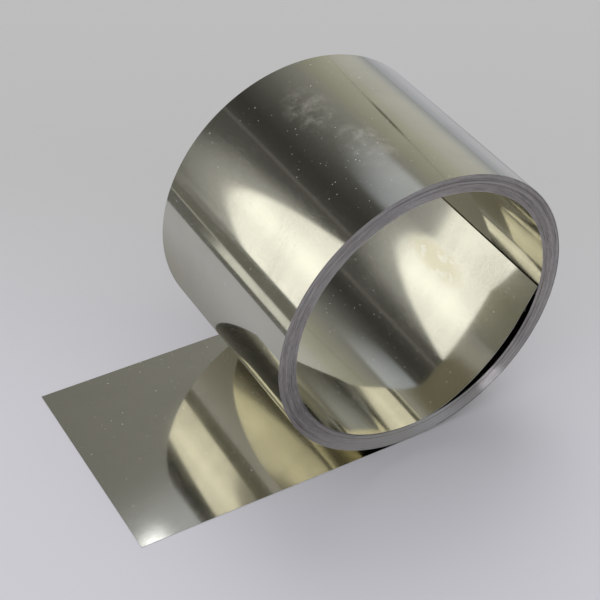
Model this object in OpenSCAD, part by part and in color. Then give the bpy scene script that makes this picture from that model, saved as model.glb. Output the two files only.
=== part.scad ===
// Coil of bright stainless steel strip, lying on its side on a level floor.
// One strip is wound tight round an open bore. Its outer end lies rolled out flat in front of the
// coil, and its innermost lap has sprung off the wound pack, which leaves a crescent gap.
// The coil's axis runs along Y, and the near end faces -Y. Angles are seen from there: 0 is +X and
// 90 is straight up. The origin is on the floor, under the middle of the whole object.

/* [Strip] */
// Width of the strip
strip_w = 100; // [60:5:200]
// Thickness of the strip
strip_t = 0.2; // [0.1:0.05:0.4]
// Length of the outer end that lies flat, from the coil's lowest point to the cut
tail_l = 130; // [80:5:300]

/* [Wound pack] */
// Diameter of the bore inside the wound pack
bore_d = 121; // [100:1:200]
// Number of turns in the wound pack
turns = 42; // [20:1:80]
// Number of turns that lie level with each other before the next groove
turns_in_band = 3; // [2:1:6]
// Depth of the grooves between the bands of turns on the coil's ends
groove_depth = 0.3; // [0.1:0.05:0.6]
// Number of inner turns that have slipped along the axis, away from the near end
slipped_turns = 9; // [3:1:15]
// How far those inner turns have slipped
slip = 0.4; // [0.1:0.1:1]

/* [Loose inner lap] */
// Angle at which the innermost lap leaves the pack
lap_from = -88; // [-120:1:-60]
// How much tighter than the bore the lap curls where it leaves the pack, in radius
lap_curl = 19.5; // [18:0.5:26]
// Angle that this tight curl turns through
lap_curl_turn = 30; // [28:1:38]
// How much wider than the bore the lap then opens, in radius
lap_spread = 21.5; // [15:0.5:25]
// Angle that this wide bend turns through, before the lap runs straight on to its cut end
lap_spread_turn = 32; // [20:1:34]
// Gap between the lap's cut end and the pack
lap_end_gap = 0.3; // [0.1:0.1:1]

/* [Hidden] */
$fn = 180;
bright_steel = [0.72, 0.71, 0.67];

// How far the loose lap runs into the pack where it leaves it
bite = 0.1;
// How far the coil's round bottom is pressed flat under its own weight
flat_depth = 0.01;
// How far the lap's straight end runs back along its wide bend
tip_overlap = 0.5;
// Share of the strip's thickness that the rounded edge takes up on each side of a groove
edge_share = 1 / 3;

bore_r = bore_d / 2;
coil_r = bore_r + turns * strip_t;
axis_z = coil_r - flat_depth;
axis_x = (tail_l - coil_r) / 2;

// Radii at which one band of turns ends and the next begins
band_radii = [for (turn = [0 : turns_in_band : turns - 1]) bore_r + turn * strip_t, coil_r];
last_band = len(band_radii) - 2;

// Point at an angle and at a distance of 1 from the axis
function way(angle) = [cos(angle), sin(angle)];

// Radii of the loose lap's tight and wide bends, and the angles at which each gives way to the next
curl_r = bore_r - lap_curl;
spread_r = bore_r + lap_spread;
spread_from = lap_from + lap_curl_turn;
tip_from = spread_from + lap_spread_turn;
// Centres of the two bends, which join without a kink
curl_centre = (lap_curl + bite) * way(lap_from);
spread_centre = curl_centre + (curl_r - spread_r) * way(spread_from);

// Length of the lap's straight end, which stops just short of the bore's wall
tip_start = spread_centre + spread_r * way(tip_from);
tip_run = tip_start * way(tip_from + 90);
tip_r = bore_r - lap_end_gap;
tip_l = sqrt(tip_run * tip_run - tip_start * tip_start + tip_r * tip_r) - tip_run;

// How far the band of turns that starts at a radius has slipped
function slip_at(radius) = radius < bore_r + slipped_turns * strip_t ? slip : 0;

// Outline of one band on an end of the pack, as radius, height below the strip's edge and slip
function band_edge(i) =
    let (inner = band_radii[i],
         outer = band_radii[i + 1],
         flank = strip_t * edge_share,
         slipped = slip_at(inner),
         stands_alone = i == last_band || slip_at(outer) != slipped)
    [
        [inner, groove_depth, slipped],
        [inner + flank, 0, slipped],
        [outer - flank, 0, slipped],
        if (stands_alone) [outer, groove_depth, slipped]
    ];

// Half section of the wound pack, as radius and place along the axis, with the near end up
module pack_section() {
    edge = [for (i = [0 : last_band]) each band_edge(i)];
    near_end = [for (p = edge) [p[0], strip_w / 2 - p[1] - p[2]]];
    far_end = [for (i = [len(edge) - 1 : -1 : 0]) [edge[i][0], edge[i][1] - edge[i][2] - strip_w / 2]];
    polygon(concat(near_end, far_end));
}

// The turns of the pack, one solid ring whose ends show bands of turns
module wound_pack() {
    rotate([90, 0, 0])
        rotate_extrude()
            pack_section();
}

// Spans the strip's width with a section that is drawn in X and height
module across_width() {
    rotate([90, 0, 0])
        linear_extrude(height = strip_w, center = true)
            children();
}

// Wedge of a circle about the origin, for an angle of less than 180 degrees
module wedge(radius, from, to) {
    far = radius / cos((to - from) / 4);
    polygon([[0, 0], for (i = [0 : 2]) far * [cos(from + (to - from) * i / 2), sin(from + (to - from) * i / 2)]]);
}

// Strip bent to a radius about a centre, between two angles
module bend(centre, radius, from, to) {
    translate(centre)
        intersection() {
            difference() {
                circle(r = radius);
                circle(r = radius - strip_t);
            }
            wedge(2 * radius, from, to);
        }
}

// Two bends and straight end of the lap that has sprung off the pack
module lap_section() {
    bend(curl_centre, curl_r, lap_from, spread_from);
    bend(spread_centre, spread_r, spread_from, tip_from);
    translate(spread_centre)
        rotate(tip_from)
            translate([spread_r - strip_t, -tip_overlap])
                square([strip_t, tip_overlap + tip_l]);
}

// Outer end of the strip, flat on the floor from the coil's lowest point to the cut
module tail_section() {
    translate([-tail_l, -axis_z])
        square([tail_l, strip_t]);
}

module coiled_strip() {
    color(bright_steel)
        translate([axis_x, -slip / 2, axis_z])
            difference() {
                union() {
                    wound_pack();
                    across_width() tail_section();
                    across_width() lap_section();
                }
                translate([-coil_r, -strip_w, -axis_z - strip_t])
                    cube([2 * coil_r, 2 * strip_w, strip_t]);
            }
}

coiled_strip();
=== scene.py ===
"""A coil of bright stainless steel strip on a pale studio floor.

One strip is wound tight round an open bore. Its outer end lies rolled out flat, and its innermost
lap has sprung off the wound pack. The coil's axis runs along Y, the near end faces -Y, and angles
round the axis are seen from there: 0 is +X and 90 is straight up. Sizes are in metres.
"""

import logging
import math
import random
from dataclasses import dataclass
from enum import Enum
from typing import Any, Mapping, Sequence, Union

import bmesh
import bpy
from mathutils import Matrix, Vector


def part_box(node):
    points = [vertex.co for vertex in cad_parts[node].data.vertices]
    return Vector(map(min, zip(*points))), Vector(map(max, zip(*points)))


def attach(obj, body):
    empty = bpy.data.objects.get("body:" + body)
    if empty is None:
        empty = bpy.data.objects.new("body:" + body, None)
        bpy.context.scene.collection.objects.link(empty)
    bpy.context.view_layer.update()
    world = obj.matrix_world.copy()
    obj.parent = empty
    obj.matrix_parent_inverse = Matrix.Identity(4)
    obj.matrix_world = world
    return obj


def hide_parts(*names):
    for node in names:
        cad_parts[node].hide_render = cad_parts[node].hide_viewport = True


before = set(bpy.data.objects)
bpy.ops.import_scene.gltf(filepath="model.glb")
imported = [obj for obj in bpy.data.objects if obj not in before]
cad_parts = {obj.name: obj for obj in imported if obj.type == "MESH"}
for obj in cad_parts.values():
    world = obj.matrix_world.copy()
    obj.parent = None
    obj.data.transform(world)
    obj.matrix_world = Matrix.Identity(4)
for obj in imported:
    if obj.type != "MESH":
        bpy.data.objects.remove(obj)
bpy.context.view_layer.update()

log = logging.getLogger("steel_strip")

MM = 0.001
BODY = "root"
NODE = "coiled_strip"

Colour = tuple[float, float, float, float]
Number = Union[float, "Value"]


def grey(level: float) -> Colour:
    """Gives a neutral colour of one level."""
    return (level, level, level, 1.0)


def direction(angle: float) -> Vector:
    """Gives the way that an angle round the coil's axis points, with a length of 1."""
    return Vector((math.cos(angle), 0.0, math.sin(angle)))


class Value:
    """A socket's value, which takes part in sums that the node tree works out."""

    def __init__(self, graph: "Graph", socket: bpy.types.NodeSocket) -> None:
        """Wraps an output socket.

        Args:
            graph: The graph that the socket belongs to.
            socket: The output socket.
        """
        self.graph = graph
        self.socket = socket

    def maths(self, operation: str, *terms: Number) -> "Value":
        """Adds one Math node.

        Args:
            operation: The node's operation.
            terms: The values of its inputs, in order.

        Returns:
            The node's result.
        """
        return self.graph.add("ShaderNodeMath", {"operation": operation}, dict(enumerate(terms)))

    def __add__(self, other: Number) -> "Value":
        """Adds a value."""
        return self.maths("ADD", self, other)

    def __radd__(self, other: Number) -> "Value":
        """Is added to a number."""
        return self.maths("ADD", other, self)

    def __sub__(self, other: Number) -> "Value":
        """Takes a value away."""
        return self.maths("SUBTRACT", self, other)

    def __rsub__(self, other: Number) -> "Value":
        """Is taken away from a number."""
        return self.maths("SUBTRACT", other, self)

    def __mul__(self, other: Number) -> "Value":
        """Multiplies by a value."""
        return self.maths("MULTIPLY", self, other)

    def __rmul__(self, other: Number) -> "Value":
        """Multiplies a number."""
        return self.maths("MULTIPLY", other, self)

    def __truediv__(self, other: Number) -> "Value":
        """Divides by a value."""
        return self.maths("DIVIDE", self, other)

    def __pow__(self, other: Number) -> "Value":
        """Raises to a power."""
        return self.maths("POWER", self, other)

    def step(self, start: Number, end: Number) -> "Value":
        """Eases from 0 to 1.

        Args:
            start: The value at which the step is still 0.
            end: The value from which the step is 1. It may lie below start.

        Returns:
            The eased share.
        """
        return self.graph.add(
            "ShaderNodeMapRange",
            {"interpolation_type": "SMOOTHSTEP"},
            {"Value": self, "From Min": start, "From Max": end},
        )


class Graph:
    """A node tree that is filled from Python."""

    def __init__(self, tree: bpy.types.NodeTree) -> None:
        """Empties the tree.

        Args:
            tree: The node tree of a material or a world.
        """
        tree.nodes.clear()
        self.tree = tree

    def add(
        self,
        kind: str,
        settings: Mapping[str, Any] | None = None,
        inputs: Mapping[str | int, Any] | None = None,
        output: str | int = 0,
    ) -> "Value | None":
        """Adds a node.

        Args:
            kind: The node's type.
            settings: The node's own settings. The key stops gives a ramp's places and colours.
            inputs: Values or links for its sockets, by name or number.
            output: Name or number of the output that is wanted.

        Returns:
            The wanted output, or None for a node that has none.
        """
        node = self.tree.nodes.new(kind)
        for name, setting in (settings or {}).items():
            if name == "stops":
                self._set_stops(node.color_ramp, setting)
            else:
                setattr(node, name, setting)
        for key, value in (inputs or {}).items():
            if isinstance(value, Value):
                self.tree.links.new(value.socket, node.inputs[key])
            else:
                node.inputs[key].default_value = value
        return Value(self, node.outputs[output]) if node.outputs else None

    @staticmethod
    def _set_stops(ramp: bpy.types.ColorRamp, stops: Sequence[tuple[float, Colour]]) -> None:
        """Sets a ramp's stops.

        Args:
            ramp: The ramp.
            stops: Places and colours, in rising order.
        """
        while len(ramp.elements) < len(stops):
            ramp.elements.new(1.0)
        for element, (place, colour) in zip(ramp.elements, stops):
            element.position = place
            element.color = colour

    def mix(self, share: Number, first: Any, second: Any) -> Value:
        """Mixes two colours.

        Args:
            share: Share of the second colour.
            first: The first colour, as a value or a link.
            second: The second colour, as a value or a link.

        Returns:
            The mixed colour.
        """
        return self.add("ShaderNodeMix", {"data_type": "RGBA"}, {0: share, 6: first, 7: second}, 2)

    def noise(self, vector: Value, detail: float = 2.0, roughness: float = 0.5) -> Value:
        """Adds a noise of about one feature in each unit of its vector.

        Args:
            vector: The scaled coordinates.
            detail: How many finer layers it has.
            roughness: How strong the finer layers are.

        Returns:
            The noise, mostly between 0.3 and 0.7.
        """
        return self.add(
            "ShaderNodeTexNoise",
            None,
            {"Vector": vector, "Scale": 1.0, "Detail": detail, "Roughness": roughness},
        )

    def scaled(self, vector: Value, scale: Sequence[float], offset: Sequence[float] = (0, 0, 0)) -> Value:
        """Scales coordinates.

        Args:
            vector: The coordinates.
            scale: Scale along each axis.
            offset: What is added after the scale.

        Returns:
            The scaled coordinates.
        """
        return self.add("ShaderNodeMapping", None, {"Vector": vector, "Scale": scale, "Location": offset})


@dataclass(frozen=True)
class RolledFinish:
    """The bright rolled face of the strip: a mirror with a slight haze and fine lines along its length.

    A thin film of dust lies in two smudges on top of the coil, fine specks lie all over, and the bore
    has one warm stain.
    """

    name: str = "bright_rolled_face"
    colour: tuple[float, float, float] = (0.70, 0.675, 0.57)
    mirror_roughness: float = 0.06
    haze_roughness: float = 0.24
    haze_share: float = 0.35
    grain: float = 0.25 * MM
    line_pitch: float = 0.35 * MM
    line_length: float = 40 * MM
    line_height: float = 0.0001 * MM
    wave_length: float = 22 * MM
    wave_height: float = 0.012 * MM
    cloud_scale: tuple[float, float, float] = (30.0, 45.0, 30.0)
    cloudy_tone: float = 0.94
    smudge_places: tuple[tuple[float, float, float], ...] = (
        (14 * MM, 19 * MM, 136 * MM),
        (20 * MM, -14 * MM, 137 * MM),
    )
    smudge_reach: float = 20 * MM
    smudge_size: float = 5 * MM
    smudge_strength: float = 0.28
    speck_size: float = 0.8 * MM
    speck_strength: float = 0.8
    dust_colour: tuple[float, float, float] = (0.80, 0.81, 0.82)
    stain_place: tuple[float, float, float] = (79.7 * MM, 7 * MM, 42 * MM)
    stain_reach: float = 26 * MM
    blot_size: tuple[float, float, float] = (4 * MM, 9 * MM, 4 * MM)
    stain_colour: tuple[float, float, float] = (0.64, 0.60, 0.46)

    def material(self) -> bpy.types.Material:
        """Builds the material.

        Returns:
            The material.
        """
        made = bpy.data.materials.new(self.name)
        made.use_nodes = True
        graph = Graph(made.node_tree)
        place = graph.add("ShaderNodeTexCoord", output="Object")
        along, across = 1 / self.line_length, 1 / self.line_pitch
        lines = graph.noise(graph.scaled(place, (along, across, along)), 3.0, 0.6)
        waves = graph.noise(graph.scaled(place, (1 / self.wave_length,) * 3), 1.0, 0.4)
        grain = graph.noise(graph.scaled(place, (1 / self.grain,) * 3), 1.0)
        cloud = graph.noise(graph.scaled(place, self.cloud_scale, (3, 1, 7)), 3.0)
        hazy = (grain + lines * 0.15 + cloud * 0.3).step(0.90 - self.haze_share * 0.3, 0.90)
        roughness = hazy * (self.haze_roughness - self.mirror_roughness) + self.mirror_roughness
        height = lines * self.line_height + waves * self.wave_height
        relief = graph.add("ShaderNodeBump", None, {"Height": height, "Strength": 1.0, "Distance": 1.0})
        tone = graph.mix(
            (cloud + lines * 0.15).step(0.4, 0.85),
            (*self.colour, 1.0),
            (*(channel * self.cloudy_tone for channel in self.colour), 1.0),
        )
        stain = self._near(graph, place, self.stain_place, self.stain_reach, (3.2, 1.0, 3.2))
        blots = graph.noise(graph.scaled(place, [1 / size for size in self.blot_size]), 2.0)
        tone = graph.mix(stain * blots.step(0.30, 0.46), tone, (*self.stain_colour, 1.0))
        first, second = (
            self._near(graph, place, middle, self.smudge_reach, (1.7, 1.0, 1.0))
            for middle in self.smudge_places
        )
        smudge = first.maths("MAXIMUM", first, second)
        film = graph.noise(graph.scaled(place, (1 / self.smudge_size,) * 3, (5, 2, 1)), 6.0, 0.62)
        specks = graph.noise(graph.scaled(place, (1 / self.speck_size,) * 3), 0.0)
        dust = smudge * film.step(0.40, 0.80) * self.smudge_strength
        dust = dust + specks.step(0.834, 0.864) * self.speck_strength
        tone = graph.mix(dust, tone, (*self.dust_colour, 1.0))
        surface = graph.add(
            "ShaderNodeBsdfPrincipled",
            None,
            {"Base Color": tone, "Metallic": 1 - dust, "Roughness": roughness, "Normal": relief},
        )
        graph.add("ShaderNodeOutputMaterial", None, {"Surface": surface})
        return made

    @staticmethod
    def _near(
        graph: Graph, place: Value, middle: Sequence[float], reach: float, scale: Sequence[float]
    ) -> Value:
        """Masks a soft patch round a point. It is full within about a third of its reach.

        Args:
            graph: The node tree.
            place: The object coordinates.
            middle: The patch's middle.
            reach: The patch's reach along an axis of scale 1.
            scale: How much sooner the patch ends along each axis.

        Returns:
            The patch's share, from 0 to 1.
        """
        offset = [-axis * factor for axis, factor in zip(middle, scale)]
        away = graph.scaled(place, scale, offset)
        distance = graph.add("ShaderNodeVectorMath", {"operation": "LENGTH"}, {0: away}, "Value")
        return distance.step(reach, reach * 0.35)


@dataclass(frozen=True)
class SlitFinish:
    """The slit edge of the strip: duller and darker than its face, with dark lines between turns.

    Painted light makes it lighter low down, and at one angle round the coil a painted highlight gives it a
    lighter, less metallic patch.
    """

    name: str = "slit_edge"
    colour: tuple[float, float, float] = (0.63, 0.605, 0.61)
    dull_colour: tuple[float, float, float] = (0.40, 0.375, 0.39)
    line_colour: tuple[float, float, float] = (0.15, 0.14, 0.14)
    line_pitch: float = 0.28 * MM
    line_share: float = 0.75
    # Painted light: the edge is made lighter low down
    painted_low_light_colour: tuple[float, float, float] = (0.86, 0.84, 0.82)
    painted_low_light_places: tuple[float, float] = (38 * MM, 2 * MM)
    painted_low_light_share: float = 0.75
    # A painted highlight: a lighter, less metallic patch at one angle round the coil
    painted_glare_angle: float = math.radians(-51)
    painted_glare_inset: float = 3 * MM
    painted_glare_reach: float = 3 * MM
    painted_glare_ease: float = 9 * MM
    painted_glare_dullness: float = 0.7
    painted_glare_colour: tuple[float, float, float] = (0.95, 0.92, 0.95)
    roughness: float = 0.34
    burr_length: float = 3 * MM
    burr_width: float = 0.2 * MM
    burr_height: float = 0.004 * MM
    band_width: float = 1.2 * MM
    glint_size: float = 0.35 * MM

    def material(self, coil: "CoilSizes") -> bpy.types.Material:
        """Builds the material.

        Args:
            coil: The coil's sizes, for its axis.

        Returns:
            The material.
        """
        made = bpy.data.materials.new(self.name)
        made.use_nodes = True
        graph = Graph(made.node_tree)
        place = graph.add("ShaderNodeTexCoord", output="Object")
        centred = graph.scaled(place, (1, 1, 1), (-coil.axis.x, 0, -coil.axis.z))
        flat = graph.scaled(centred, (1, 0, 1))
        radius = graph.add("ShaderNodeVectorMath", {"operation": "LENGTH"}, {0: flat}, "Value")
        turn_key = graph.add("ShaderNodeCombineXYZ", None, {"X": radius / self.burr_width})
        slow = graph.scaled(centred, (1 / self.burr_length,) * 3)
        around = graph.add("ShaderNodeVectorMath", {"operation": "ADD"}, {0: turn_key, 1: slow}, "Vector")
        burrs = graph.noise(around, 2.0, 0.6)
        bands = graph.noise(graph.add("ShaderNodeCombineXYZ", None, {"X": radius / self.band_width}), 2.0)
        glint = graph.noise(graph.scaled(place, (1 / self.glint_size,) * 3), 1.0)
        tone = graph.mix(
            (burrs * 0.6 + bands * 0.5).step(0.42, 0.7), (*self.colour, 1.0), (*self.dull_colour, 1.0)
        )
        line_key = graph.add("ShaderNodeCombineXYZ", None, {"X": radius / self.line_pitch})
        slower = graph.scaled(centred, (1 / (self.burr_length * 5),) * 3)
        drawn = graph.add("ShaderNodeVectorMath", {"operation": "ADD"}, {0: line_key, 1: slower}, "Vector")
        lines = graph.noise(drawn, 1.0)
        tone = graph.mix(lines.step(0.60, 0.72) * self.line_share, tone, (*self.line_colour, 1.0))
        # Painted light: the edge is lighter towards the bottom
        low = graph.add("ShaderNodeSeparateXYZ", None, {0: place}, "Z").step(*self.painted_low_light_places)
        tone = graph.mix(low * self.painted_low_light_share, tone, (*self.painted_low_light_colour, 1.0))
        # Painted highlight: a lighter, less metallic patch at one angle round the coil
        middle = direction(self.painted_glare_angle) * (coil.radius - self.painted_glare_inset)
        away = graph.add("ShaderNodeVectorMath", {"operation": "DISTANCE"}, {0: flat, 1: middle}, "Value")
        painted_glare = away.step(self.painted_glare_ease, self.painted_glare_reach) * (burrs + glint * 0.5).step(0.62, 0.80)
        tone = graph.mix(painted_glare, tone, (*self.painted_glare_colour, 1.0))
        roughness = self.roughness + (glint - 0.5) * 0.4
        height = burrs * self.burr_height + glint * self.burr_height
        relief = graph.add("ShaderNodeBump", None, {"Height": height, "Strength": 1.0, "Distance": 1.0})
        surface = graph.add(
            "ShaderNodeBsdfPrincipled",
            None,
            {
                "Base Color": tone,
                "Metallic": 1 - painted_glare * self.painted_glare_dullness,
                "Roughness": roughness,
                "Normal": relief,
            },
        )
        graph.add("ShaderNodeOutputMaterial", None, {"Surface": surface})
        return made


@dataclass
class CoilSizes:
    """Sizes that the stretches of the strip share, worked out from the construction model's box."""

    low: Vector
    high: Vector
    turns: int = 42
    pitch: float = 0.2 * MM
    metal: float = 0.19 * MM
    slip: float = 0.4 * MM

    @property
    def radius(self) -> float:
        """Outer radius of the coil."""
        return (self.high.z - self.low.z) / 2

    @property
    def axis(self) -> Vector:
        """Point on the coil's axis, halfway along it."""
        return Vector((self.high.x - self.radius, 0.0, self.low.z + self.radius))

    @property
    def near(self) -> float:
        """Place along Y of the near end's outer turns."""
        return self.low.y

    @property
    def width(self) -> float:
        """Width of the strip."""
        return self.high.y - self.low.y - self.slip

    @property
    def pack_axis(self) -> Vector:
        """Point on the wound pack's own axis, which the outer turn's spiral lifts by half a pitch."""
        return self.axis + Vector((0.0, 0.0, self.pitch / 2))

    @property
    def pack_radius(self) -> float:
        """Outer radius of the wound pack, inside the outer turn."""
        return self.radius - 1.5 * self.pitch

    @property
    def pack_turns(self) -> int:
        """Number of turns in the pack. The outermost and the innermost take the room of three more."""
        return self.turns - 3

    @property
    def pack_bore(self) -> float:
        """Inner radius of the wound pack, outside the inner turn."""
        return self.pack_radius - self.pack_turns * self.pitch


class Side(Enum):
    """Which finish a face of the strip has, as its material's number."""

    FACE = 0
    EDGE = 1


@dataclass
class Stretch:
    """A stretch of the strip, which becomes one piece of the scene."""

    coil: CoilSizes
    name: str = "strip"
    crease: float = math.radians(20)
    way_round: tuple[float, float, float] = (0.0, -1.0, 0.0)

    def __post_init__(self) -> None:
        """Starts an empty mesh."""
        self.mesh: bmesh.types.BMesh = bmesh.new()

    def shape(self) -> None:
        """Fills the mesh."""
        raise NotImplementedError

    def side_of(self, face: bmesh.types.BMFace) -> Side:
        """Tells a face's finish by the way that it looks."""
        return Side.FACE if abs(face.normal.y) < 0.3 else Side.EDGE

    def build(self, finishes: Sequence[bpy.types.Material]) -> bpy.types.Object:
        """Builds the piece, dresses it and puts it on the frame.

        Args:
            finishes: One material for each Side, in order.

        Returns:
            The finished piece.
        """
        self.shape()
        bmesh.ops.recalc_face_normals(self.mesh, faces=self.mesh.faces)
        for face in self.mesh.faces:
            face.smooth = True
            face.material_index = self.side_of(face).value
        for edge in self.mesh.edges:
            edge.smooth = edge.calc_face_angle(0.0) < self.crease
        data = bpy.data.meshes.new(self.name)
        self.mesh.to_mesh(data)
        self.mesh.free()
        for finish in finishes:
            data.materials.append(finish)
        piece = bpy.data.objects.new(self.name, data)
        bpy.context.scene.collection.objects.link(piece)
        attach(piece, BODY)
        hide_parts(NODE)
        log.info("%s: %d faces", self.name, len(data.polygons))
        return piece


@dataclass
class FlatStretch(Stretch):
    """A stretch that starts as the strip's cross-section and is drawn along its run."""

    corner: float = 0.04 * MM
    corner_steps: int = 2

    def start(self, place: Vector, near: float) -> list[Any]:
        """Draws the strip's cross-section with its corners rounded.

        Args:
            place: Middle of the section. Its Y isn't used.
            near: Place along Y of the strip's near edge.

        Returns:
            The section's geometry.
        """
        coil = self.coil
        stand = Matrix.Rotation(math.radians(90), 4, "Y")
        centre = Matrix.Translation((place.x, near + coil.width / 2, place.z))
        size = Matrix.Diagonal((coil.metal, coil.width, 1.0, 1.0))
        made = bmesh.ops.create_grid(
            self.mesh, x_segments=1, y_segments=1, size=0.5, matrix=centre @ stand @ size
        )
        bmesh.ops.bevel(
            self.mesh,
            geom=made["verts"],
            affect="VERTICES",
            offset=self.corner,
            segments=self.corner_steps,
            profile=0.5,
            material=-1,
        )
        return list(self.mesh.faces) + list(self.mesh.edges) + list(self.mesh.verts)

    def bend(self, end: list[Any], centre: Vector, angle: float, steps: int) -> list[Any]:
        """Carries the strip on round a centre.

        Args:
            end: The geometry of the strip's present end.
            centre: Centre of the bend.
            angle: How far it turns, in radians.
            steps: Number of facets.

        Returns:
            The geometry of the new end.
        """
        turned = bmesh.ops.spin(
            self.mesh, geom=end, cent=centre, axis=self.way_round, angle=angle, steps=steps
        )
        return turned["geom_last"]

    def straight(self, end: list[Any], way: Vector, steps: int) -> list[Any]:
        """Carries the strip on in a straight line.

        Args:
            end: The geometry of the strip's present end.
            way: The whole way that it goes.
            steps: Number of equal lengths.

        Returns:
            The geometry of the new end.
        """
        for _ in range(steps):
            end = bmesh.ops.extrude_face_region(self.mesh, geom=end)["geom"]
            points = [item for item in end if isinstance(item, bmesh.types.BMVert)]
            bmesh.ops.translate(self.mesh, vec=way / steps, verts=points)
        return end


@dataclass
class OuterTurn(FlatStretch):
    """The flat outer end and the outermost turn, which closes on itself like a spiral."""

    name: str = "outer_turn"
    half_steps: int = 200
    tail_steps: int = 26
    tuck: float = math.radians(12)
    tuck_steps: int = 10

    def shape(self) -> None:
        """Draws the flat end, two half turns and the end that is tucked under the first turn."""
        coil = self.coil
        centre = coil.axis
        lifted = centre + Vector((0.0, 0.0, coil.pitch / 2))
        end = self.start(Vector((coil.low.x, 0.0, coil.low.z + coil.metal / 2)), coil.near)
        end = self.straight(end, Vector((coil.axis.x - coil.low.x, 0.0, 0.0)), self.tail_steps)
        end = self.bend(end, centre, math.pi, self.half_steps)
        end = self.bend(end, lifted, math.pi, self.half_steps)
        self.bend(end, centre, self.tuck, self.tuck_steps)


@dataclass
class InnerLap(FlatStretch):
    """The innermost turn, whose last part has sprung off the pack."""

    name: str = "inner_lap"
    half_steps: int = 200
    lap_from: float = math.radians(-88)
    leave_steps: int = 4
    curl_radius: float = 41 * MM
    curl_turn: float = math.radians(30)
    curl_steps: int = 24
    spread_radius: float = 82 * MM
    spread_turn: float = math.radians(32)
    spread_steps: int = 40
    tip_length: float = 16.5 * MM
    tip_steps: int = 10

    def shape(self) -> None:
        """Draws two half turns, the short stretch to the lap, its two bends and its straight tip."""
        coil = self.coil
        bottom = math.radians(-90)
        centre = coil.pack_axis
        lifted = centre + Vector((0.0, 0.0, coil.pitch / 2))
        first_radius = coil.pack_bore - coil.pitch
        section_middle = centre - Vector((0.0, 0.0, first_radius + coil.metal / 2))
        end = self.start(section_middle, coil.near + coil.slip)
        end = self.bend(end, centre, math.pi, self.half_steps)
        end = self.bend(end, lifted, math.pi, self.half_steps)
        end = self.bend(end, centre, self.lap_from - bottom, self.leave_steps)

        outer_face = first_radius - coil.pitch + coil.metal
        spread_from = self.lap_from + self.curl_turn
        curl_centre = centre + direction(self.lap_from) * (outer_face - self.curl_radius)
        spread_centre = curl_centre + direction(spread_from) * (self.curl_radius - self.spread_radius)
        end = self.bend(end, curl_centre, self.curl_turn, self.curl_steps)
        end = self.bend(end, spread_centre, self.spread_turn, self.spread_steps)
        onward = direction(spread_from + self.spread_turn + math.radians(90))
        self.straight(end, onward * self.tip_length, self.tip_steps)


@dataclass
class WoundPack(Stretch):
    """The turns between the outermost and the innermost, as one ring whose ends show each turn."""

    name: str = "wound_pack"
    steps: int = 256
    groove: float = 0.12 * MM
    flank: float = 0.3
    band_turns: int = 3
    band_creep: float = 0.10 * MM
    turn_creep: float = 0.03 * MM
    slipped_turns: int = 9
    seed: int = 7

    def shape(self) -> None:
        """Spins the pack's section round the axis and lets its turns creep along it."""
        coil = self.coil
        centre = coil.pack_axis
        near_end, far_end = coil.near, coil.near + coil.width
        outline = []
        for turn in range(coil.pack_turns):
            inner = coil.pack_bore + turn * coil.pitch
            outline += [
                (inner, self.groove),
                (inner + self.flank * coil.pitch, 0.0),
                (inner + (1 - self.flank) * coil.pitch, 0.0),
            ]
        outline.append((coil.pack_radius, self.groove))
        points = [(radius, near_end + depth) for radius, depth in outline]
        points += [(radius, far_end - depth) for radius, depth in reversed(outline)]
        corners = [self.mesh.verts.new((centre.x + radius, y, centre.z)) for radius, y in points]
        section = [
            self.mesh.edges.new((corner, following))
            for corner, following in zip(corners, corners[1:] + corners[:1])
        ]
        bmesh.ops.spin(
            self.mesh,
            geom=corners + section,
            cent=centre,
            axis=self.way_round,
            angle=2 * math.pi,
            steps=self.steps,
            use_merge=True,
        )
        self._creep(centre)

    def _creep(self, centre: Vector) -> None:
        """Moves each turn a little along the axis, by an amount that changes slowly round the coil.

        Args:
            centre: Point on the pack's axis.
        """
        coil = self.coil
        draw = random.Random(self.seed)
        bands = coil.pack_turns // self.band_turns + 1
        band_moves = [
            (draw.uniform(0.0, self.band_creep), draw.uniform(0.0, 2 * math.pi)) for _ in range(bands)
        ]
        turn_moves = [draw.uniform(0.0, self.turn_creep) for _ in range(coil.pack_turns)]
        for vert in self.mesh.verts:
            way = vert.co - centre
            angle = math.atan2(way.z, way.x)
            turn = (math.hypot(way.x, way.z) - coil.pack_bore) / coil.pitch
            turn = min(max(int(turn), 0), coil.pack_turns - 1)
            size, phase = band_moves[turn // self.band_turns]
            creep = size * (0.6 + 0.4 * math.cos(angle + phase)) + turn_moves[turn]
            if turn < self.slipped_turns - 1:
                creep = coil.slip * (0.75 + 0.25 * math.cos(angle - math.radians(45)))
            vert.co.y += creep


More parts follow.
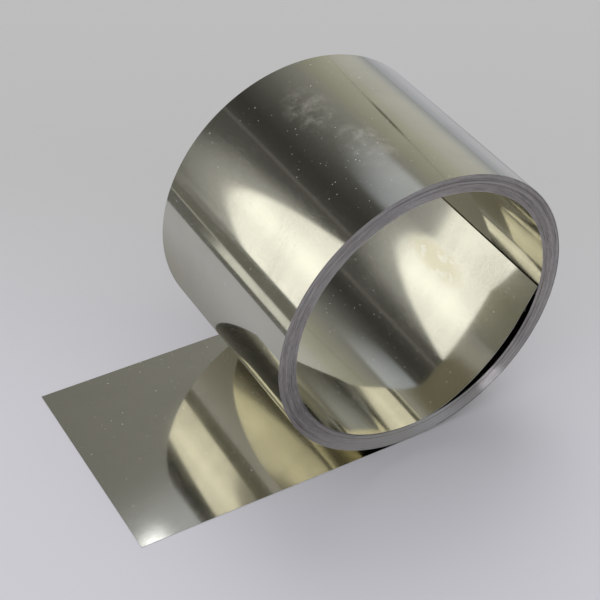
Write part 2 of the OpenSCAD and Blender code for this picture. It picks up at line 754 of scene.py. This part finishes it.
@dataclass(frozen=True)
class PhotoView:
    """The camera, by the way it looks at a point near the coil. Lengths are in coil radii."""

    azimuth: float = -32.7775
    elevation: float = 39.7556
    roll: float = 3.1394
    distance: float = 9.5758
    aim: tuple[float, float, float] = (-0.4148, 0.0, 0.7747)
    lens: float = 92.32
    sensor: float = 36.0

    def place(self, coil: CoilSizes) -> bpy.types.Object:
        """Puts the camera in the scene.

        Args:
            coil: The coil's sizes.

        Returns:
            The camera.
        """
        turn, rise, roll = (math.radians(a) for a in (self.azimuth, self.elevation, self.roll))
        ahead = Vector(
            (-math.sin(turn) * math.cos(rise), math.cos(turn) * math.cos(rise), -math.sin(rise))
        )
        right = Vector((math.cos(turn), math.sin(turn), 0.0))
        above = right.cross(ahead)
        sideways = right * math.cos(roll) + above * math.sin(roll)
        upward = above * math.cos(roll) - right * math.sin(roll)
        foot = Vector((coil.axis.x, coil.near + coil.width / 2, coil.low.z))
        eye = foot + Vector(self.aim) * coil.radius - ahead * self.distance * coil.radius
        data = bpy.data.cameras.new("photo_view")
        data.lens = self.lens
        data.sensor_width = self.sensor
        data.clip_start = 0.01
        camera = bpy.data.objects.new("photo_view", data)
        turned = Matrix((sideways, upward, -ahead)).transposed().to_4x4()
        camera.matrix_world = Matrix.Translation(eye) @ turned
        bpy.context.scene.collection.objects.link(camera)
        bpy.context.scene.camera = camera
        return camera


@dataclass(frozen=True)
class Panel:
    """A light or a lit board that the steel mirrors, by its place round and along the coil's axis.

    Places are in degrees: turn goes round the axis from +X over the top, and reach is the angle
    towards +Y. Each edge is eased over its own number of degrees. The slant is how far the panel's
    long edges move in turn for each degree of reach below the slant's foot.
    """

    light: tuple[float, float, float]
    turn: tuple[float, float]
    turn_ease: tuple[float, float]
    reach: tuple[float, float] = (-70.0, 90.0)
    reach_ease: tuple[float, float] = (10.0, 1.0)
    slant: float = 0.0
    slant_foot: float = 43.9

    def mask(self, turn: Value, reach: Value) -> Value:
        """Tells where the panel is.

        Args:
            turn: The mirrored way's angle round the axis.
            reach: Its angle towards +Y.

        Returns:
            The panel's share, from 0 to 1.
        """
        (first, last), (first_ease, last_ease) = self.turn, self.turn_ease
        (nearest, farthest), (near_ease, far_ease) = self.reach, self.reach_ease
        if self.slant:
            turn = turn + (reach - self.slant_foot) * self.slant
        share = turn.step(first - first_ease, first + first_ease)
        share = share * turn.step(last + last_ease, last - last_ease)
        share = share * reach.step(farthest + far_ease, farthest - far_ease)
        return share * reach.step(nearest - near_ease, nearest + near_ease)


def add_stage(name: str, mesh: bmesh.types.BMesh, finish: bpy.types.Material) -> bpy.types.Object:
    """Makes a stage piece that only the steel mirrors.

    Args:
        name: The piece's name.
        mesh: Its mesh, which is used up.
        finish: Its material.

    Returns:
        The piece.
    """
    data = bpy.data.meshes.new(name)
    mesh.to_mesh(data)
    mesh.free()
    data.materials.append(finish)
    piece = bpy.data.objects.new(name, data)
    bpy.context.scene.collection.objects.link(piece)
    piece.visible_camera = False
    piece.visible_diffuse = False
    piece.visible_shadow = False
    piece.visible_transmission = False
    return piece


@dataclass(frozen=True)
class Softbox:
    """A large light: a card that only the steel mirrors.

    The card stands square to a line from the coil's axis. Heights run along the card from that line,
    the way that turns back towards +X. The light lies between the low and the high edge, from the near
    edge to the far one. The far edge has a slant and a bow, both reckoned from the edge height, and a
    halo fades out beyond it. Only mirrored rays of the least length or more meet the light.
    """

    name: str = "softbox"
    turn: float = math.radians(158)
    distance: float = 680 * MM
    light: tuple[float, float, float] = (1.34, 1.35, 1.30)
    even_share: float = 0.79
    bright_height: float = 39 * MM
    bright_reach: float = 165 * MM
    low_edge: float = -312 * MM
    high_edge: float = 380 * MM
    far_edge: float = 631 * MM
    edge_height: float = -40 * MM
    slant: float = 0.085
    bow: float = 0.25
    near_edge: float = 430 * MM
    near_slant: float = 0.25
    near_ease: float = 15 * MM
    side_ease: float = 7 * MM
    far_ease: float = 9 * MM
    halo_light: tuple[float, float, float] = (0.25, 0.255, 0.26)
    halo_reach: float = 165 * MM
    halo_ease: float = 90 * MM
    card_size: float = 1600 * MM
    least_length: float = 0.0
    length_ease: float = 16 * MM

    def place(self, coil: CoilSizes) -> None:
        """Stands the card in the scene.

        Args:
            coil: The coil's sizes.
        """
        outward = direction(self.turn)
        upward = direction(self.turn - math.radians(90))
        middle = coil.axis + outward * self.distance
        stand = Matrix((upward, Vector((0.0, 1.0, 0.0)), -outward)).transposed().to_4x4()
        mesh = bmesh.new()
        bmesh.ops.create_grid(
            mesh,
            x_segments=1,
            y_segments=1,
            size=self.card_size / 2,
            matrix=Matrix.Translation(middle) @ stand,
        )
        add_stage(self.name, mesh, self._material(coil))

    def _material(self, coil: CoilSizes) -> bpy.types.Material:
        """Builds the card's light, with a bowed far edge and a halo beyond it.

        Args:
            coil: The coil's sizes.

        Returns:
            The material.
        """
        made = bpy.data.materials.new(self.name)
        made.use_nodes = True
        made.cycles.emission_sampling = "NONE"
        graph = Graph(made.node_tree)
        upward = direction(self.turn - math.radians(90))
        place = graph.add("ShaderNodeTexCoord", output="Object")
        centred = graph.scaled(place, (1, 1, 1), -coil.axis)
        height = graph.add(
            "ShaderNodeVectorMath", {"operation": "DOT_PRODUCT"}, {0: centred, 1: upward}, "Value"
        )
        along = graph.add("ShaderNodeSeparateXYZ", None, {0: centred}, "Y")
        rise = height - self.edge_height
        beyond = along + rise * self.slant + rise ** 2 * self.bow - self.far_edge
        lit = height.step(self.low_edge - self.side_ease, self.low_edge + self.side_ease)
        lit = lit * height.step(self.high_edge + self.side_ease, self.high_edge - self.side_ease)
        lit = lit * beyond.step(self.far_ease, -self.far_ease)
        nearness = along + height * self.near_slant - self.near_edge
        lit = lit * nearness.step(-self.near_ease, self.near_ease)
        off_bright = height - self.bright_height
        bright = off_bright.maths("ABSOLUTE", off_bright).step(self.bright_reach, 0.0)
        lit = lit * (bright * (1 - self.even_share) + self.even_share)
        if self.least_length:
            length = graph.add("ShaderNodeLightPath", output="Ray Length")
            lit = lit * length.step(self.least_length, self.least_length + self.length_ease)
        halo = height.step(self.low_edge - self.side_ease, self.low_edge + self.halo_ease / 2)
        halo = halo * height.step(self.high_edge + self.halo_ease / 3, self.high_edge - self.halo_ease * 2)
        halo = halo * beyond.step(self.halo_reach, 0.0)
        glow = graph.mix(halo, grey(0.0), (*self.halo_light, 1.0))
        glow = graph.mix(lit, glow, (*self.light, 1.0))
        shine = graph.add("ShaderNodeEmission", None, {"Color": glow, "Strength": 1.0})
        clear = graph.add("ShaderNodeBsdfTransparent", None, {"Color": grey(1.0)})
        surface = graph.add("ShaderNodeAddShader", None, {0: clear, 1: shine})
        graph.add("ShaderNodeOutputMaterial", None, {"Surface": surface})
        return made


@dataclass(frozen=True)
class Board:
    """A dark upright board beside the coil that only the steel mirrors. Its height falls towards +Y."""

    name: str = "dark_board"
    light: tuple[float, float, float] = (0.157, 0.157, 0.14)
    place_x: float = -345 * MM
    near_y: float = -300 * MM
    far_y: float = 633 * MM
    near_height: float = 140 * MM

    def place(self) -> None:
        """Stands the board in the scene."""
        mesh = bmesh.new()
        points = ((self.near_y, 0.0), (self.far_y, 0.0), (self.near_y, self.near_height))
        points = [mesh.verts.new((self.place_x, y, z)) for y, z in points]
        bmesh.ops.contextual_create(mesh, geom=points)
        made = bpy.data.materials.new(self.name)
        made.use_nodes = True
        made.cycles.emission_sampling = "NONE"
        graph = Graph(made.node_tree)
        surface = graph.add("ShaderNodeEmission", None, {"Color": (*self.light, 1.0), "Strength": 1.0})
        graph.add("ShaderNodeOutputMaterial", None, {"Surface": surface})
        add_stage(self.name, mesh, made)


@dataclass(frozen=True)
class FloorFinish:
    """The floor's plain pale finish, with painted light that makes it a touch cooler and lighter in front.

    The steel mirrors it in colours of its own, with painted shade that makes them darker beside the coil.
    Places are in metres.
    """

    name: str = "pale_floor"
    back_colour: Colour = (0.518, 0.518, 0.518, 1.0)
    # Painted light: the floor is a touch cooler and lighter in front
    painted_light_front_colour: Colour = (0.655, 0.648, 0.70, 1.0)
    colour_way: tuple[float, float, float] = (0.54, 0.84, 0.0)
    colour_places: tuple[float, float] = (0.20, -0.09)
    mirrored_colour: Colour = (0.50, 0.51, 0.56, 1.0)
    painted_light_mirrored_front: Colour = (0.57, 0.57, 0.58, 1.0)
    front_places: tuple[float, float] = (-0.04, -0.08)
    # Painted shade on the floor as the steel mirrors it, beside the coil
    painted_shade_colour: Colour = (0.26, 0.25, 0.21, 1.0)
    painted_shade_place: tuple[float, float, float] = (0.09, 0.14, 0.0)
    painted_shade_reach: tuple[float, float] = (0.22, 0.08)
    far_colour: Colour = (0.42, 0.44, 0.50, 1.0)
    far_reach: tuple[float, float] = (0.35, 0.9)

    def material(self) -> bpy.types.Material:
        """Builds the material.

        Returns:
            The material.
        """
        made = bpy.data.materials.new(self.name)
        made.use_nodes = True
        graph = Graph(made.node_tree)
        place = graph.add("ShaderNodeTexCoord", output="Object")
        forward = graph.add(
            "ShaderNodeVectorMath", {"operation": "DOT_PRODUCT"}, {0: place, 1: self.colour_way}, "Value"
        )
        # Painted light: lighter and cooler towards the front
        tone = graph.mix(forward.step(*self.colour_places), self.back_colour, self.painted_light_front_colour)
        away = graph.add(
            "ShaderNodeVectorMath", {"operation": "DISTANCE"}, {0: place, 1: self.painted_shade_place}, "Value"
        )
        # Painted shade: the mirrored floor is darker beside the coil
        mirrored = graph.mix(away.step(*self.painted_shade_reach), self.mirrored_colour, self.painted_shade_colour)
        mirrored = graph.mix(away.step(*self.far_reach), mirrored, self.far_colour)
        across = graph.add("ShaderNodeSeparateXYZ", None, {0: place}, "Y")
        # Painted light: the mirrored floor is lighter in front
        mirrored = graph.mix(across.step(*self.front_places), mirrored, self.painted_light_mirrored_front)
        is_glossy = graph.add("ShaderNodeLightPath", output="Is Glossy Ray")
        tone = graph.mix(is_glossy, tone, mirrored)
        surface = graph.add(
            "ShaderNodeBsdfPrincipled",
            None,
            {"Base Color": tone, "Roughness": 0.9, "Specular IOR Level": 0.0},
        )
        graph.add("ShaderNodeOutputMaterial", None, {"Surface": surface})
        return made


@dataclass(frozen=True)
class Surround:
    """The world: an even light, and round the coil's axis a painted surround that the steel mirrors.

    A stop is a place round the axis in degrees and a level, and the panels lie on top. The tone changes
    just above the floor and is warmer over part of the way up.
    """

    name: str = "surround"
    air_light: float = 0.786
    below_tone: Colour = (1.0, 1.03, 1.08, 1.0)
    above_tone: Colour = (1.0, 1.01, 0.98, 1.0)
    tone_places: tuple[float, float] = (3, 12)
    warm_tone: Colour = (1.0, 1.01, 0.88, 1.0)
    warm_places: tuple[float, float, float, float] = (22, 36, 50, 62)
    stops: tuple[tuple[float, float], ...] = (
        (-90, 0.40), (0, 0.40), (6, 0.50), (12, 0.54), (24, 0.51), (36, 0.425), (48, 0.35),
        (60, 0.265), (72, 0.20), (84, 0.13), (96, 0.08), (108, 0.048), (116, 0.052), (126, 0.085),
        (150, 0.10), (180, 0.13), (184, 0.22), (189, 0.22), (191, 0.13), (208, 0.13), (211, 0.32),
        (270, 0.30),
    )
    panels: tuple[Panel, ...] = (
        # The bright strip low on the left, and its dimmer rim, which runs on further
        Panel((0.78, 0.795, 0.76), (197.0, 204.0), (0.4, 0.4), (-60, 43.9), (10, 0.5)),
        Panel((0.55, 0.56, 0.54), (196.9, 197.7), (0.4, 0.4)),
        # The dim side low on the right
        Panel((0.24, 0.25, 0.25), (-20, 42), (1, 2), (-60, 34.9), (10, 0.12)),
        # The seam high on the right, with its dark part
        Panel((0.26, 0.26, 0.21), (34.7, 35.4), (0.5, 0.5), (-60, 45.2), (10, 1.2), 2.0),
        Panel((0.05, 0.05, 0.04), (34.1, 36.2), (0.5, 0.5), (42.0, 43.5), (0.4, 0.2), 2.0),
        # The faint pale line across the dark top
        Panel((0.13, 0.128, 0.125), (121.7, 124.1), (0.7, 0.7)),
    )

    def world(self) -> bpy.types.World:
        """Builds the world.

        Returns:
            The world.
        """
        made = bpy.data.worlds.new(self.name)
        made.use_nodes = True
        made.cycles.sampling_method = "NONE"
        graph = Graph(made.node_tree)
        way = graph.add("ShaderNodeTexCoord", output="Generated")
        axes = {name: graph.add("ShaderNodeSeparateXYZ", None, {0: way}, name) for name in "XYZ"}
        degrees = 180 / math.pi
        from_top = (axes["X"] * -1).maths("ARCTAN2", axes["X"] * -1, axes["Z"])
        turn = from_top * degrees + 90
        reach = axes["Y"].maths("ARCSINE", axes["Y"]) * degrees
        low, high = self.stops[0][0], self.stops[-1][0]
        ramp = [((place - low) / (high - low), grey(level)) for place, level in self.stops]
        mirrored = graph.add(
            "ShaderNodeValToRGB", {"stops": ramp}, {"Fac": (turn - low) / (high - low)}, "Color"
        )
        cool_end, warm_start, warm_end, cool_start = self.warm_places
        warm = turn.step(cool_end, warm_start) * turn.step(cool_start, warm_end)
        tone = graph.mix(turn.step(*self.tone_places), self.below_tone, self.above_tone)
        tone = graph.mix(warm, tone, self.warm_tone)
        mirrored = graph.add(
            "ShaderNodeMix",
            {"data_type": "RGBA", "blend_type": "MULTIPLY"},
            {0: 1.0, 6: mirrored, 7: tone},
            2,
        )
        for panel in self.panels:
            mirrored = graph.mix(panel.mask(turn, reach), mirrored, (*panel.light, 1.0))
        is_glossy = graph.add("ShaderNodeLightPath", output="Is Glossy Ray")
        seen = graph.mix(is_glossy, grey(self.air_light), mirrored)
        surface = graph.add("ShaderNodeBackground", None, {"Color": seen, "Strength": 1.0})
        graph.add("ShaderNodeOutputWorld", None, {"Surface": surface})
        return made


@dataclass(frozen=True)
class SoftLamp:
    """One large soft lamp behind the coil, high up, which gives the coil its shadow."""

    name: str = "soft_lamp"
    energy: float = 15.0
    size: float = 1.5
    distance: float = 2.5
    azimuth: float = math.radians(60)
    rise: float = math.radians(55)

    def place(self, coil: CoilSizes) -> None:
        """Hangs the lamp in the scene.

        Args:
            coil: The coil's sizes.
        """
        data = bpy.data.lights.new(self.name, "AREA")
        data.shape = "RECTANGLE"
        data.size = data.size_y = self.size
        data.energy = self.energy
        lamp = bpy.data.objects.new(self.name, data)
        flat = Vector((math.cos(self.azimuth), math.sin(self.azimuth), 0.0))
        way = flat * math.cos(self.rise) + Vector((0.0, 0.0, math.sin(self.rise)))
        lamp.location = coil.axis + way * self.distance
        lamp.rotation_euler = way.to_track_quat("Z", "Y").to_euler()
        lamp.visible_glossy = False
        lamp.visible_camera = False
        bpy.context.scene.collection.objects.link(lamp)


@dataclass
class Studio:
    """The floor, the lamp and what the steel mirrors."""

    coil: CoilSizes
    floor_reach: float = 4.0
    board_edge: float = -195 * MM
    floor_finish: FloorFinish = FloorFinish()
    surround: Surround = Surround()
    lamp: SoftLamp = SoftLamp()
    board: Board = Board()
    softboxes: tuple[Softbox, ...] = (
        Softbox(),
        Softbox(
            name="overhead_light", turn=math.radians(80), distance=790 * MM, light=(0.27, 0.30, 0.37),
            even_share=1.0, low_edge=-215 * MM, high_edge=215 * MM, far_edge=634 * MM, slant=-0.12,
            bow=0.0, near_edge=-1.0, near_slant=0.0, side_ease=56 * MM, far_ease=66 * MM,
            halo_light=(0.0, 0.0, 0.0),
        ),
        Softbox(
            name="corner_light", turn=math.radians(69.3), distance=1700 * MM, light=(2.5, 2.6, 2.85),
            even_share=1.0, low_edge=-120 * MM, high_edge=-74 * MM, far_edge=1305 * MM, slant=0.0,
            bow=0.0, near_edge=-1.0, near_slant=0.0, side_ease=16 * MM, far_ease=30 * MM,
            card_size=3200 * MM, least_length=2212 * MM, halo_light=(0.0, 0.0, 0.0),
        ),
    )

    def build(self) -> None:
        """Lays the floor and places the surround, the lamp and all that the steel mirrors."""
        self._floor()
        bpy.context.scene.world = self.surround.world()
        self.lamp.place(self.coil)
        for softbox in self.softboxes:
            softbox.place(self.coil)
        self.board.place()

    def _floor(self) -> None:
        """Lays the floor in two parts: the steel mirrors only the board that the coil lies on."""
        finish = self.floor_finish.material()
        edge, reach = self.board_edge, self.floor_reach
        for name, start, end in (("floor_board", edge, reach), ("floor_beyond", -reach, edge)):
            mesh = bmesh.new()
            size = Matrix.Diagonal((end - start, 2 * reach, 1.0, 1.0))
            middle = Matrix.Translation(((start + end) / 2, 0.0, self.coil.low.z))
            bmesh.ops.create_grid(mesh, x_segments=1, y_segments=1, size=0.5, matrix=middle @ size)
            data = bpy.data.meshes.new(name)
            mesh.to_mesh(data)
            mesh.free()
            data.materials.append(finish)
            part = bpy.data.objects.new(name, data)
            bpy.context.scene.collection.objects.link(part)
            part.visible_glossy = start == edge


def corners(box: tuple[Vector, Vector]) -> list[list[float]]:
    """Gives a box's two corners as plain lists."""
    return [list(corner) for corner in box]


def main() -> None:
    """Builds the coil, the camera and the studio."""
    logging.basicConfig(level=logging.INFO, format="%(name)s: %(message)s")
    bpy.context.scene.view_settings.view_transform = "Standard"
    coil = CoilSizes(*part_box(NODE))
    PhotoView().place(coil)
    finishes = (RolledFinish().material(), SlitFinish().material(coil))
    for stretch in (OuterTurn(coil), InnerLap(coil), WoundPack(coil)):
        stretch.build(finishes)
    Studio(coil).build()


if __name__ == "__main__":
    main()
